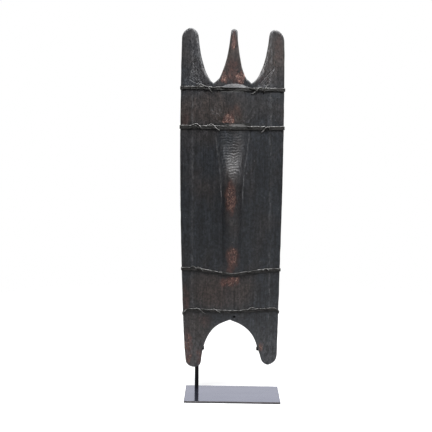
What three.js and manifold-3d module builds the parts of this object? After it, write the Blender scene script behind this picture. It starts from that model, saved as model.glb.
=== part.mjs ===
import * as THREE from 'three';
import { mergeVertices } from 'three/addons/utils/BufferGeometryUtils.js';
import Module from 'manifold-3d';

// A carved wooden war shield with three prongs and two legs, bound with split cane,
// standing on a steel plate by a welded rod. Millimetres, +Z up, front towards -Y.
// The origin is the centre of the plate's underside.

const wasm = await Module();
wasm.setup();

// Gap between pieces that touch
const gap = 0.35;

// Board: u runs across from its middle line, h up from the foot of the longer leg
const boardFoot = { x: -4, z: 88.5 };
const boardLeanDeg = -0.44;
const edgePlaneY = 52;
const crestHalf = 129;
const stripFall = 14;
const roofRise = 28;
const roofPower = 1.25;
const edgeThickness = 12;
const hollowShare = 0.85;
const blankHalf = 182;
const blankReach = 90;
const backStations = [0, 25, 56, 90, crestHalf];

// Sides of the outline, half widths from the foot up
const leftSide = [[-168.3, 1137], [-171, 1110], [-174.4, 960], [-176.8, 730], [-174.4, 480], [-168.1, 234],
  [-163.1, 93], [-158.4, 31]];
const rightSide = [[159.2, 42], [162.3, 179], [165.6, 330], [171.1, 569], [174.4, 800], [174.8, 1000],
  [173.6, 1113]];

// Centre prong is thinner than the body: its face sits back behind a ledge
const prongSetback = 12;
const prongBackSetback = 7;
const ledge = { low: 959.5, high: 971, flatHalf: 14, fadeHalf: 58 };
const cordNotch = { low: 946, high: 959, flatHalf: 18, half: 42, depth: 6, wall: 0.8 };

// Boss and ridge: height above the field and half width, from the second lashing down
const ridgeHeight = [[192, 0], [252, 5], [332, 8], [422, 13], [502, 21], [562, 30], [602, 39], [630, 46],
  [642, 48], [654, 47], [674, 42], [702, 31], [732, 20], [762, 13], [802, 8], [830, 5], [838, 0]];
const ridgeHalf = [[192, 28], [342, 31], [502, 33], [592, 35.5], [642, 38], [692, 42], [741, 49], [802, 57],
  [842, 60]];
const ridgeTopShare = 0.12;
const ridgeColumns = [0, 0.15, 0.3, 0.5, 0.7, 0.85, 1];

// Hand hold: a scoop from behind with the grip bar left standing in it
const scoop = { h: 640, halfWidth: 31, halfHeight: 75, depth: 43 };
const gripBar = { halfWidth: 9.5, halfDepth: 10.5 };

// Small hole above the arch
const pegHole = { u: 10.8, h: 182.5, radius: 2.3 };

// Cane lashings: heights of the front run at the left edge, middle and right edge
const cane = { halfDepth: 2.2, halfHeight: 3.1, sides: 6 };
const lashings = [
  { name: 'upper_lashing', left: 956.5, middle: 952.5, right: 953.5, edgeDrop: 0 },
  { name: 'second_lashing', left: 830, middle: 826, right: 824.5, edgeDrop: 0 },
  { name: 'third_lashing', left: 346, middle: 331.5, right: 343, edgeDrop: 1 },
  { name: 'lower_lashing', left: 204, middle: 205, right: 210, edgeDrop: 15 },
];

// Stand
const plate = { width: 323, depth: 186, thickness: 7, bevel: 0.8 };
const post = { x: -122.8, y: 66, radius: 6.5 };
const armRadius = 4.5;
const armZ = 292;
const dropX = 108;
const clip = { height: 7, thickness: 2.5, lap: 4.5, clear: 1.3, stubRadius: 3.4 };
const clipAt = { left: { u: -95.6, h: 67.5 }, right: { u: 89, h: 66 } };
const fork = { h: 690, half: 16, radius: 3.5, backY: 42, tipY: 17 };
const rodSides = 10;

const smooth = (x) => THREE.MathUtils.smoothstep(x, 0, 1);

// Value at x along a list of [x, value] pairs, straight between neighbours
function along(pairs, x) {
  if (x <= pairs[0][0]) return pairs[0][1];
  for (let i = 1; i < pairs.length; i += 1) {
    const [x1, v1] = pairs[i];
    const [x0, v0] = pairs[i - 1];
    if (x <= x1) return v0 + (v1 - v0) * ((x - x0) / (x1 - x0));
  }
  return pairs[pairs.length - 1][1];
}

// How far the convex body stands in front of the plane of its edges
function roof(u) {
  const a = Math.abs(u);
  if (a >= crestHalf) return stripFall * Math.max(-0.2, 1 - (a - crestHalf) / (176 - crestHalf));
  return stripFall + roofRise * (1 - (a / crestHalf) ** roofPower);
}

// How far the boss and its ridge stand above the body: round on top, with a crisp foot
function ridge(u, h) {
  const share = Math.abs(u) / along(ridgeHalf, h);
  const down = THREE.MathUtils.clamp((share - ridgeTopShare) / (1 - ridgeTopShare), 0, 1);
  return along(ridgeHeight, h) * (1 - down ** 2);
}

// 1 on the centre prong, 0 on the body and beside the prong
function prongShare(u, h) {
  const across = 1 - smooth((Math.abs(u) - ledge.flatHalf) / (ledge.fadeHalf - ledge.flatHalf));
  return across * smooth((h - ledge.low) / (ledge.high - ledge.low));
}

// Depth of the notch under the ledge, where the upper lashing is let into the wood
function notchDepth(u, h) {
  const inFromRim = Math.min(h - cordNotch.low, cordNotch.high - h);
  const across = (cordNotch.half - Math.abs(u)) / (cordNotch.half - cordNotch.flatHalf);
  const share = THREE.MathUtils.clamp(across, 0, 1) * THREE.MathUtils.clamp(inFromRim / cordNotch.wall, 0, 1);
  return cordNotch.depth * share;
}

function frontY(u, h) {
  return edgePlaneY - roof(u) - ridge(u, h) + prongSetback * prongShare(u, h) + notchDepth(u, h);
}

function backY(u, h) {
  return edgePlaneY + edgeThickness - hollowShare * roof(u) + prongBackSetback * prongShare(u, h);
}

function toManifold(geometry) {
  const bare = geometry.index ? geometry.toNonIndexed() : geometry.clone();
  bare.deleteAttribute('normal');
  bare.deleteAttribute('uv');
  const merged = mergeVertices(bare, 1e-4);
  const vertProperties = new Float32Array(merged.attributes.position.array);
  const triVerts = new Uint32Array(merged.index.array);
  return new wasm.Manifold(new wasm.Mesh({ numProp: 3, vertProperties, triVerts }));
}

function toGeometry(solid) {
  const mesh = solid.getMesh();
  const geometry = new THREE.BufferGeometry();
  geometry.setAttribute('position', new THREE.BufferAttribute(new Float32Array(mesh.vertProperties), 3));
  geometry.setIndex(new THREE.BufferAttribute(new Uint32Array(mesh.triVerts), 1));
  geometry.computeVertexNormals();
  return geometry;
}

function mirrored(values) {
  return [...values.slice(1).map((v) => -v).reverse(), ...values];
}

// Columns of the front's grid at height h: they follow the foot of the ridge, then the crests
function stationsAt(h) {
  const foot = along(ridgeHalf, h);
  return [...ridgeColumns.map((share) => share * foot), 90, crestHalf];
}

// Box whose grid follows the given columns and rows and whose front face is moved to faceY
function facedBlock(columnsAt, rows, faceY, farY) {
  const wide = columnsAt(0).length - 1;
  const tall = rows.length - 1;
  const block = new THREE.BoxGeometry(wide, 1, tall, wide, 1, tall);
  const position = block.attributes.position;
  for (let i = 0; i < position.count; i += 1) {
    const h = rows[Math.round(position.getZ(i) + tall / 2)];
    const u = columnsAt(h)[Math.round(position.getX(i) + wide / 2)];
    position.setXYZ(i, u, position.getY(i) < 0 ? faceY(u, h) : farY, h);
  }
  return toManifold(block);
}

const points = (pairs) => pairs.map(([u, h]) => new THREE.Vector2(u, h));

// Front view of the board: legs and arch, right side, prongs and notches, left side
function boardOutline() {
  const outline = new THREE.Shape();
  outline.moveTo(...leftSide[leftSide.length - 1]);
  // left foot, then the arch up to its point and down
  outline.splineThru(points([[-155.5, 14], [-146, 4], [-132, 0], [-116, 3], [-107, 12], [-103.2, 25]]));
  outline.splineThru(points([[-99.3, 57], [-86, 100], [-66.8, 132.7], [-42.4, 155], [-5.2, 172.3]]));
  outline.splineThru(points([[30.1, 156], [58.2, 134], [79.2, 101.5], [94.1, 58.6], [103.5, 28]]));
  // right foot, right side and right prong
  outline.splineThru(points([[109.5, 18.5], [119, 11.5], [129, 9.4], [145, 15.5], [155, 26], rightSide[0]]));
  outline.splineThru(points(rightSide.slice(1)));
  outline.splineThru(points([[171, 1127], [164.5, 1139.5], [154, 1148.5], [142, 1152], [131, 1150],
    [124.5, 1141], [121.5, 1128]]));
  outline.splineThru(points([[118, 1103.6], [111, 1063.8], [98.5, 1023.8], [83.6, 993.7], [71.5, 979.5],
    [62.8, 974.6]]));
  // centre prong
  outline.splineThru(points([[54, 983], [43.4, 993.4], [31.8, 1023.2], [23.9, 1062.7], [18.3, 1102.2],
    [15.5, 1141]]));
  outline.splineThru(points([[13.6, 1149], [7, 1153], [-1, 1152.5], [-5.5, 1148.5], [-6.9, 1141]]));
  outline.splineThru(points([[-11.7, 1102], [-18.5, 1062.6], [-30.6, 1023], [-43.2, 993.1]]));
  // left notch, left prong and left side
  outline.splineThru(points([[-52, 984], [-59, 977.5], [-64.2, 975.2], [-73.3, 982.5]]));
  outline.splineThru(points([[-89.9, 1013], [-102.4, 1053], [-110.3, 1092.8], [-114.8, 1132.4]]));
  outline.splineThru(points([[-118, 1143.5], [-127, 1153.5], [-141, 1158.8], [-153, 1155], [-163, 1146],
    leftSide[0]]));
  outline.splineThru(points(leftSide.slice(1)));
  return outline;
}

function outlineBlock() {
  const slab = new THREE.ExtrudeGeometry(boardOutline(), {
    depth: 2 * blankReach, steps: 1, curveSegments: 2, bevelEnabled: false,
  });
  slab.translate(0, 0, -blankReach);
  slab.rotateX(Math.PI / 2);
  return toManifold(slab);
}

function handHold() {
  const backPlane = backY(0, scoop.h);
  const bowl = new THREE.SphereGeometry(1, 20, 14);
  bowl.rotateX(Math.PI / 2);
  bowl.scale(scoop.halfWidth, scoop.depth, scoop.halfHeight);
  bowl.translate(0, backPlane, scoop.h);
  const bar = new THREE.CylinderGeometry(1, 1, 2 * scoop.halfHeight + 10, 14);
  bar.rotateX(Math.PI / 2);
  bar.scale(gripBar.halfWidth, gripBar.halfDepth, 1);
  bar.translate(0, backPlane - gripBar.halfDepth + 1, scoop.h);
  return toManifold(bowl).subtract(toManifold(bar));
}

function holeCutter() {
  const cutter = new THREE.CylinderGeometry(pegHole.radius, pegHole.radius, 4 * blankReach, 10);
  cutter.translate(pegHole.u, 0, pegHole.h);
  return toManifold(cutter);
}

function boardGeometry() {
  const rows = [
    -12, 60, 130, ...ridgeHeight.map(([h]) => h), 890, cordNotch.low, cordNotch.low + cordNotch.wall,
    cordNotch.high - cordNotch.wall, cordNotch.high, ledge.low, 965, ledge.high, 1020, 1175,
  ];
  const backRows = [-12, 300, ledge.low, ledge.high, 1175];
  const front = facedBlock((h) => mirrored([...stationsAt(h), blankHalf]), rows, frontY, blankReach);
  const behind = facedBlock(() => mirrored([...backStations, blankHalf]), backRows, backY, blankReach + 20);
  const board = outlineBlock().intersect(front).subtract(behind);
  return toGeometry(board.subtract(handHold()).subtract(holeCutter()));
}

// Height of a lashing's line at u: a shallow V with its own drop near the edges
function lashingHeight(lashing, u) {
  const side = u < 0 ? lashing.left : lashing.right;
  const share = Math.min(1, Math.abs(u) / crestHalf);
  const drop = lashing.edgeDrop * smooth((Math.abs(u) - 146) / 24);
  return lashing.middle + (side - lashing.middle) * share - drop;
}

// Half width of the board at height h on one side
function sideReach(side, h) {
  const pairs = side.map(([u, at]) => [at, Math.abs(u)]).sort((a, b) => a[0] - b[0]);
  return along(pairs, h);
}

// Closed run around the board, as far off its faces as the cane is thick
function lashingPath(lashing) {
  const off = cane.halfDepth + gap + 0.6;
  const reach = cane.halfHeight + 0.6;
  const run = [];
  mirrored([...stationsAt(lashing.middle), 150]).forEach((u) => {
    const h = lashingHeight(lashing, u);
    const proudest = Math.min(frontY(u, h - reach), frontY(u, h), frontY(u, h + reach));
    run.push(new THREE.Vector3(u, proudest - off, h));
  });
  [1, -1].forEach((sign) => {
    const h = lashingHeight(lashing, sign * 172);
    const edge = sideReach(sign < 0 ? leftSide : rightSide, h) + 0.3;
    const front = frontY(edge - 3, h);
    const back = backY(edge, h);
    const turn = [[-3, front - off], [0.8 * off, front - 0.8 * off], [off, front + 3],
      [off, back - 3], [0.8 * off, back + 0.8 * off], [-3, back + off]]
      .map(([out, y]) => new THREE.Vector3(sign * (edge + out), y, h));
    run.push(...(sign > 0 ? turn : turn.reverse()));
    if (sign > 0) {
      mirrored([...backStations, 150]).reverse().forEach((u) => {
        const height = lashingHeight(lashing, u);
        run.push(new THREE.Vector3(u, backY(u, height) + off, height));
      });
    }
  });
  return run;
}

// Ring of flat cane that follows a closed run of points, one ring step at each point
function caneRing(run) {
  const count = run.length;
  const ring = new THREE.TorusGeometry(100, 10, cane.sides, count);
  const position = ring.attributes.position;
  const up = new THREE.Vector3(0, 0, 1);
  const outward = run.map((point, i) => {
    const ahead = run[(i + 1) % count];
    const behind = run[(i + count - 1) % count];
    const along1 = point.clone().sub(behind).normalize();
    const along2 = ahead.clone().sub(point).normalize();
    const tangent = along1.clone().add(along2).normalize();
    const side = tangent.clone().cross(up).normalize();
    return side.multiplyScalar(1 / Math.max(0.6, along1.dot(tangent)));
  });
  for (let i = 0; i < position.count; i += 1) {
    const step = i % (count + 1) % count;
    const turn = (Math.floor(i / (count + 1)) / cane.sides) * 2 * Math.PI;
    const vertex = run[step].clone()
      .addScaledVector(outward[step], cane.halfDepth * Math.cos(turn))
      .addScaledVector(up, cane.halfHeight * Math.sin(turn));
    position.setXYZ(i, vertex.x, vertex.y, vertex.z);
  }
  return toGeometry(toManifold(ring));
}

// Round rod through the given places, with a ball at each bend
function rod(places, radius) {
  const ends = places.map((place) => new THREE.Vector3(...place));
  let solid = null;
  const cylinderAxis = new THREE.Vector3(0, 1, 0);
  for (let i = 1; i < ends.length; i += 1) {
    const run = ends[i].clone().sub(ends[i - 1]);
    const piece = new THREE.CylinderGeometry(radius, radius, run.length(), rodSides);
    piece.translate(0, run.length() / 2, 0);
    piece.applyQuaternion(new THREE.Quaternion().setFromUnitVectors(cylinderAxis, run.normalize()));
    piece.translate(ends[i - 1].x, ends[i - 1].y, ends[i - 1].z);
    solid = solid ? solid.add(toManifold(piece)) : toManifold(piece);
    if (i < ends.length - 1) {
      const ball = new THREE.SphereGeometry(radius, rodSides, 6);
      ball.translate(ends[i].x, ends[i].y, ends[i].z);
      solid = solid.add(toManifold(ball));
    }
  }
  return solid;
}

// Place in the room of a point of the board
function inRoom(u, y, h) {
  const lean = THREE.MathUtils.degToRad(boardLeanDeg);
  return [
    boardFoot.x + u * Math.cos(lean) + h * Math.sin(lean), y,
    boardFoot.z - u * Math.sin(lean) + h * Math.cos(lean),
  ];
}

// Flat strip from a rod behind the leg, bent round the leg's inner edge and lapped over its front face
function legClip({ u, h }, rodX) {
  const sign = -Math.sign(u);
  const [legX, , z] = inRoom(u, 0, h);
  const edgeX = legX + sign * clip.clear;
  const outX = edgeX + sign * clip.thickness;
  const lapX = edgeX - sign * clip.lap;
  const faceY = frontY(u, h) - clip.clear;
  const behindY = backY(crestHalf, h) + clip.clear;
  const strip = new THREE.Shape(points([
    [rodX, behindY + clip.thickness], [outX, behindY + clip.thickness], [outX, faceY - clip.thickness],
    [lapX, faceY - clip.thickness], [lapX, faceY], [edgeX, faceY], [edgeX, behindY], [rodX, behindY],
  ]));
  const bent = new THREE.ExtrudeGeometry(strip, { depth: clip.height, bevelEnabled: false });
  bent.translate(0, 0, z - clip.height / 2);
  const stub = rod([[rodX, post.y, z], [rodX, behindY + clip.thickness / 2, z]], clip.stubRadius);
  return toManifold(bent).add(stub);
}

function standFrame() {
  const footZ = plate.thickness + gap;
  const forkAt = (u, y) => inRoom(u, y, fork.h);
  const [middleX, , forkZ] = forkAt(0, fork.backY);
  const [, , dropEndZ] = inRoom(clipAt.right.u, 0, clipAt.right.h - clip.height / 2);
  const pieces = [
    rod([[post.x, post.y, footZ], [post.x, post.y, armZ]], post.radius),
    rod([[post.x, post.y, armZ], [dropX, post.y, armZ], [dropX, post.y, dropEndZ]], armRadius),
    rod([[middleX, post.y, armZ], [middleX, post.y, forkZ], [middleX, fork.backY, forkZ]], armRadius),
    rod([forkAt(-fork.half, fork.tipY), forkAt(-fork.half, fork.backY), forkAt(fork.half, fork.backY),
      forkAt(fork.half, fork.tipY)], fork.radius),
    legClip(clipAt.left, post.x),
    legClip(clipAt.right, dropX),
  ];
  return toGeometry(pieces.reduce((all, piece) => all.add(piece)));
}

function basePlate() {
  const half = { x: plate.width / 2 - plate.bevel, y: plate.depth / 2 - plate.bevel };
  const top = new THREE.Shape();
  top.moveTo(-half.x, -half.y);
  top.lineTo(half.x, -half.y);
  top.lineTo(half.x, half.y);
  top.lineTo(-half.x, half.y);
  top.closePath();
  const slab = new THREE.ExtrudeGeometry(top, {
    depth: plate.thickness - 2 * plate.bevel, bevelEnabled: true, bevelThickness: plate.bevel,
    bevelSize: plate.bevel, bevelSegments: 1,
  });
  slab.translate(0, 0, plate.bevel);
  return toGeometry(toManifold(slab));
}

function named(name, geometry, material) {
  const mesh = new THREE.Mesh(geometry, material);
  mesh.name = name;
  return mesh;
}

const darkWood = () => new THREE.MeshStandardMaterial({ color: 0x3a3836, roughness: 0.62, metalness: 0 });
const splitCane = () => new THREE.MeshStandardMaterial({ color: 0x5c554c, roughness: 0.7, metalness: 0 });
const blackSteel = () => new THREE.MeshStandardMaterial({ color: 0x1c1c1e, roughness: 0.35, metalness: 0.6 });

const shield = new THREE.Group();
shield.position.set(boardFoot.x, 0, boardFoot.z);
shield.rotation.y = THREE.MathUtils.degToRad(boardLeanDeg);
shield.add(named('shield_board', boardGeometry(), darkWood()));
lashings.forEach((lashing) => shield.add(named(lashing.name, caneRing(lashingPath(lashing)), splitCane())));

const stand = new THREE.Group();
stand.add(named('stand_base_plate', basePlate(), blackSteel()));
stand.add(named('stand_frame', standFrame(), blackSteel()));

const shieldOnStand = new THREE.Group();
shieldOnStand.add(shield, stand);

export default shieldOnStand;
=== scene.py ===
import bmesh
import bpy
from math import atan2, cos, exp, hypot, pi, radians, sin, sqrt
from mathutils import Matrix, Vector, noise


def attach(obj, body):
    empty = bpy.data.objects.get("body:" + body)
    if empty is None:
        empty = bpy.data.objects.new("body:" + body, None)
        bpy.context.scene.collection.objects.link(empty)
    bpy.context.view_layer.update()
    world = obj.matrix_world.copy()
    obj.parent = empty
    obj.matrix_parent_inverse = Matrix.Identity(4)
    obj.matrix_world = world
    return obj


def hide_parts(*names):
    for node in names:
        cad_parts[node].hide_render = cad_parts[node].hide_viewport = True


# A carved wooden war shield, blackened and worn, bound with split cane and held on a steel stand.
# The board is carved in millimetres in its own frame: u across, y away from the viewer, h up.
# boardToRoom then leans it as the solid leans and turns it to metres.

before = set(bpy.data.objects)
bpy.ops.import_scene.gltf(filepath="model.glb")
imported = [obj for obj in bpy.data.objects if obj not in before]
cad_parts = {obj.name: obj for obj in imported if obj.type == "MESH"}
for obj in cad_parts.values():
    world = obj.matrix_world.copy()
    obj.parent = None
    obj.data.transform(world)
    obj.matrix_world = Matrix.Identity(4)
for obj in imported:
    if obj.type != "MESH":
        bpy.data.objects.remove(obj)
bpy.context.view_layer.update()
scene = bpy.context.scene
scene.view_settings.view_transform = "Standard"


def addObject(name, data):
    made = bpy.data.objects.new(name, data)
    scene.collection.objects.link(made)
    return made


def evaluatedMesh(piece):  # a new mesh of the piece as it shows, with its modifiers or its curve's bevel
    shown = bpy.context.evaluated_depsgraph_get()
    return bpy.data.meshes.new_from_object(piece.evaluated_get(shown))


# Camera

cameraView = {
    "place": (-0.033, -3.0, 0.907),
    "downDegrees": 5.50,
    "yawDegrees": -0.55,
    "rollDegrees": 0.68,
    "focalPixels": 895,
    "pictureWidth": 432,
    "sensorWidth": 36,
}


def addCamera():
    down, yaw, roll = [radians(cameraView[turn + "Degrees"]) for turn in ("down", "yaw", "roll")]
    ahead = Vector((sin(yaw) * cos(down), cos(yaw) * cos(down), -sin(down)))
    level = Vector((cos(yaw), -sin(yaw), 0))
    upright = level.cross(ahead)
    right = cos(roll) * level + sin(roll) * upright
    top = cos(roll) * upright - sin(roll) * level
    data = bpy.data.cameras.new("camera")
    data.sensor_width = cameraView["sensorWidth"]
    data.lens = cameraView["sensorWidth"] * cameraView["focalPixels"] / cameraView["pictureWidth"]
    scene.camera = addObject("camera", data)
    turn = Matrix((right, top, -ahead)).transposed()
    scene.camera.matrix_world = Matrix.Translation(cameraView["place"]) @ turn.to_4x4()


addCamera()
print("camera set")


# The board's form, in millimetres: the solid's own values, but where a note says otherwise

boardForm = {
    "foot": (-4, 88.5),           # room x and z of the middle of the board's foot
    "leanDegrees": -0.44,
    "edgePlane": 52,
    "crestHalf": 129,
    "stripFall": 14,
    "roofRise": 28,
    "roofPower": 1.25,
    "halfWidth": 176,
    "edgeThickness": 12,
    "hollowShare": 0.85,
    "prongSetback": 12,
    "prongBackSetback": 7,
    "ledgeLow": 959.5,
    "ledgeTop": 972,              # the ledge's upper edge is a crescent; the solid's is straight, at 971
    "ledgeMiddle": 8,             # the crescent is a little right of the middle
    "ledgeHalf": 50,
    "ledgeThinnest": 0.18,
    "prongFlatHalf": 14,
    "prongFadeHalf": 58,
    "notchLow": 946,
    "notchHigh": 959,
    "notchFlatHalf": 18,
    "notchHalf": 42,
    "notchDepth": 6,
    "notchWall": 0.8,
    "ridgeTopShare": 0.12,
    "rampBlunt": 1.3,             # the ramp above the boss is a little flatter across than the solid's
    "rampFrom": (645, 685),
    "rampEnd": 829,               # from here up it is cut lower, most of all beside its crescent
    "crescentMiddle": 14,
    "crescentHalf": 22,
    "crescentCut": 0.4,
}
ridgeHeight = [
    (192, 0), (252, 5), (332, 8), (422, 13), (502, 21), (562, 30), (602, 39), (630, 46), (642, 48),
    (654, 47), (674, 42), (702, 31), (732, 20), (762, 13), (802, 8), (830, 5), (838, 0),
]
ridgeHalf = [
    (192, 28), (342, 31), (502, 33), (592, 35.5), (642, 38), (692, 42), (741, 49), (802, 57), (842, 60),
]

# Outline, anticlockwise from the left foot; each run is a smooth curve through its points
leftSide = [
    (-168.3, 1137), (-171, 1110), (-174.4, 960), (-176.8, 730), (-174.4, 480), (-168.1, 234),
    (-163.1, 93), (-158.4, 31),
]
rightSide = [
    (159.2, 42), (162.3, 179), (165.6, 330), (171.1, 569), (174.4, 800), (174.8, 1000), (173.6, 1113),
]
outlineRuns = [
    [(-155.5, 14), (-146, 4), (-132, 0), (-116, 3), (-107, 12), (-103.2, 25)],
    [(-99.3, 57), (-86, 100), (-66.8, 132.7), (-42.4, 155), (-5.2, 172.3)],
    [(30.1, 156), (58.2, 134), (79.2, 101.5), (94.1, 58.6), (103.5, 28)],
    [(109.5, 18.5), (119, 11.5), (129, 9.4), (145, 15.5), (155, 26), rightSide[0]],
    rightSide[1:],
    [(171, 1127), (164.5, 1139.5), (154, 1148.5), (142, 1152), (131, 1150), (124.5, 1141),
     (121.5, 1128)],
    [(118, 1103.6), (111, 1063.8), (98.5, 1023.8), (83.6, 993.7), (71.5, 979.5), (62.8, 974.6)],
    [(54, 983), (43.4, 993.4), (31.8, 1023.2), (23.9, 1062.7), (18.3, 1102.2), (15.5, 1141)],
    [(13.6, 1149), (7, 1153), (-1, 1152.5), (-5.5, 1148.5), (-6.9, 1141)],
    [(-11.7, 1102), (-18.5, 1062.6), (-30.6, 1023), (-43.2, 993.1)],
    [(-52, 984), (-59, 977.5), (-64.2, 975.2), (-73.3, 982.5)],
    [(-89.9, 1013), (-102.4, 1053), (-110.3, 1092.8), (-114.8, 1132.4)],
    [(-118, 1143.5), (-127, 1153.5), (-141, 1158.8), (-153, 1155), (-163, 1146), leftSide[0]],
    leftSide[1:],
]


def clamp(x, low=0.0, high=1.0):
    return max(low, min(high, x))


def smooth(x):
    x = clamp(x)
    return x * x * (3 - 2 * x)


def blendCurve(start, end, leave, arrive, t):  # cubic from start to end with the slopes leave and arrive
    return (start + leave * t + (3 * (end - start) - 2 * leave - arrive) * t ** 2
            + (2 * (start - end) + leave + arrive) * t ** 3)


def throughPoints(points, step):  # smooth curve through the points, without its last point
    curve = []
    for i in range(len(points) - 1):
        before, start = Vector(points[max(i - 1, 0)]), Vector(points[i])
        end, after = Vector(points[i + 1]), Vector(points[min(i + 2, len(points) - 1)])
        leave, arrive = (end - before) / 2, (after - start) / 2
        count = max(1, round((end - start).length / step))
        curve += [blendCurve(start, end, leave, arrive, k / count) for k in range(count)]
    return curve


def lookUp(pairs):  # smooth function through the pairs, read from a table with a step of 1 mm
    first, last = pairs[0][0], pairs[-1][0]
    table, at = [], 0
    for x in range(first, last + 1):
        while at < len(pairs) - 2 and x > pairs[at + 1][0]:
            at += 1
        x0, v0 = pairs[at]
        x1, v1 = pairs[at + 1]
        xa, va = pairs[max(at - 1, 0)]
        xb, vb = pairs[min(at + 2, len(pairs) - 1)]
        t, span = (x - x0) / (x1 - x0), x1 - x0
        leave, arrive = (v1 - va) / (x1 - xa) * span, (vb - v0) / (xb - x0) * span
        table.append(blendCurve(v0, v1, leave, arrive, t))
    table.append(table[-1])

    def read(x):
        place = clamp(x, first, last) - first
        low = int(place)
        return table[low] + (table[low + 1] - table[low]) * (place - low)
    return read


ridgeHeightAt = lookUp(ridgeHeight)
ridgeHalfAt = lookUp(ridgeHalf)


def roof(u):
    form = boardForm
    a, crest = abs(u), form["crestHalf"]
    if a >= crest:
        return form["stripFall"] * max(-0.2, 1 - (a - crest) / (form["halfWidth"] - crest))
    return form["stripFall"] + form["roofRise"] * (1 - (a / crest) ** form["roofPower"])


def ridge(u, h):
    form = boardForm
    share = abs(u) / ridgeHalfAt(h)
    if share >= 1 or h >= ridgeHeight[-1][0] or h <= ridgeHeight[0][0]:
        return 0
    top = form["ridgeTopShare"]
    low, high = form["rampFrom"]
    blunter = form["rampBlunt"] * smooth((h - low) / (high - low))
    height = max(0, ridgeHeightAt(h))
    if h > form["rampEnd"]:
        beside = smooth((abs(u - form["crescentMiddle"]) - form["crescentHalf"]) / 8)
        cut = form["crescentCut"] + (1 - form["crescentCut"]) * beside
        height *= 1 - cut * smooth((h - form["rampEnd"]) / 3)
    return height * (1 - clamp((share - top) / (1 - top)) ** (2 + blunter))


def ledgeTopAt(u):  # upper edge of the crescent between the body and the centre prong
    form = boardForm
    rise = form["ledgeTop"] - form["ledgeLow"]
    share = 1 - ((u - form["ledgeMiddle"]) / form["ledgeHalf"]) ** 2
    return form["ledgeLow"] + rise * max(form["ledgeThinnest"], share)


def prongShare(u, h, crisp):
    form = boardForm
    across = 1 - smooth((abs(u) - form["prongFlatHalf"]) / (form["prongFadeHalf"] - form["prongFlatHalf"]))
    if not crisp:
        return across * smooth((h - form["ledgeLow"]) / (form["ledgeTop"] - form["ledgeLow"]))
    return across * clamp((h - form["ledgeLow"]) / (ledgeTopAt(u) - form["ledgeLow"]))


def notch(u, h):
    form = boardForm
    across = clamp((form["notchHalf"] - abs(u)) / (form["notchHalf"] - form["notchFlatHalf"]))
    inside = min(h - form["notchLow"], form["notchHigh"] - h)
    return form["notchDepth"] * across * clamp(inside / form["notchWall"])


def plainFront(u, h):
    form = boardForm
    setback = form["prongSetback"] * prongShare(u, h, True)
    return form["edgePlane"] - roof(u) - ridge(u, h) + setback + notch(u, h)


def plainBack(u, h):
    form = boardForm
    setback = form["prongBackSetback"] * prongShare(u, h, False)
    return form["edgePlane"] + form["edgeThickness"] - form["hollowShare"] * roof(u) + setback


lean = radians(boardForm["leanDegrees"])
boardToRoom = (
    Matrix.Scale(0.001, 4)
    @ Matrix.Translation((boardForm["foot"][0], 0, boardForm["foot"][1]))
    @ Matrix(((cos(lean), 0, sin(lean), 0), (0, 1, 0, 0), (-sin(lean), 0, cos(lean), 0), (0, 0, 0, 1)))
)


# Carving and wear, in millimetres on the board

carving = {
    "dish": 1.6,                     # hollow between the boss and the crests
    "dishFrom": 45,
    "dishTop": 975,
    "crestBead": 0.5,
    # the crest's rubbed line is partly a painted highlight
    "crestShift": 6,                 # the left crest's rubbed line is this much further out than the solid's
    "crestShiftSpan": (150, 270),
    "footBead": 1.5,                 # raised line along the foot of the boss
    "footBeadSpan": (548, 618, 812, 832),
    "planing": 0.5,                  # long marks of the knife down the face
    "fibres": 0.175,
    "dents": 0.3,
    "ripple": 0.55,                  # cross marks on the ramp above the boss
    "ripplePitch": 9.2,
    "rippleWander": 5,
    "rippleSpan": (636, 665, 790, 828),
    "fan": 0.85,                     # knife marks that spread upwards over the boss
    "fanFrom": (2, 775),
    "fanArea": (118, 838, 948),      # half width, low and high
    "scoopMark": 0.8,                # adze marks on the back
    "backWaves": 0.4,
    "warp": 0.7,                     # unevenness of the outline
    "roundWidth": 6.5,
    "roundDrop": 4.0,
    "roundBack": 2.2,
    "chamferWidth": 9.5,
    "chamferDepth": 5.0,
    "chamferArea": (56, 140, 978),   # inner and outer side, and low
    "crack": {"u": 9, "low": 205, "high": 303, "depth": 1.8, "half": 1.9},
    "pegHole": {"u": 9.4, "h": 182.5, "radius": 4.2, "depth": 11, "lip": 1.6},
    "incised": 1.2,
    "incisedHalf": 1.8,
    "incisedArea": (80, 955, 1055),  # from this far out, low and high
    "hatchPitch": 7.5,
    "hatchSlopes": (0.8, -1.1),
    "notchFill": 0.12,               # share of the solid's notch that dirt fills
    "leftSwell": 0.8,                # the left edge stands out by this much more than the solid's
}
prongTriangles = [
    [(-133.5, 1045), (-99.5, 966), (-143.6, 985.5)],
    [(140, 1026), (118.7, 968), (85, 967)],
]


def lineDistance(u, h, start, end):
    du, dh = end[0] - start[0], end[1] - start[1]
    t = clamp(((u - start[0]) * du + (h - start[1]) * dh) / (du * du + dh * dh))
    return hypot(u - start[0] - t * du, h - start[1] - t * dh)


def insideTriangle(u, h, corners):
    signs = []
    for i in range(3):
        (u0, h0), (u1, h1) = corners[i], corners[(i + 1) % 3]
        signs.append((u1 - u0) * (h - h0) - (h1 - h0) * (u - u0) > 0)
    return all(signs) or not any(signs)


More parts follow.
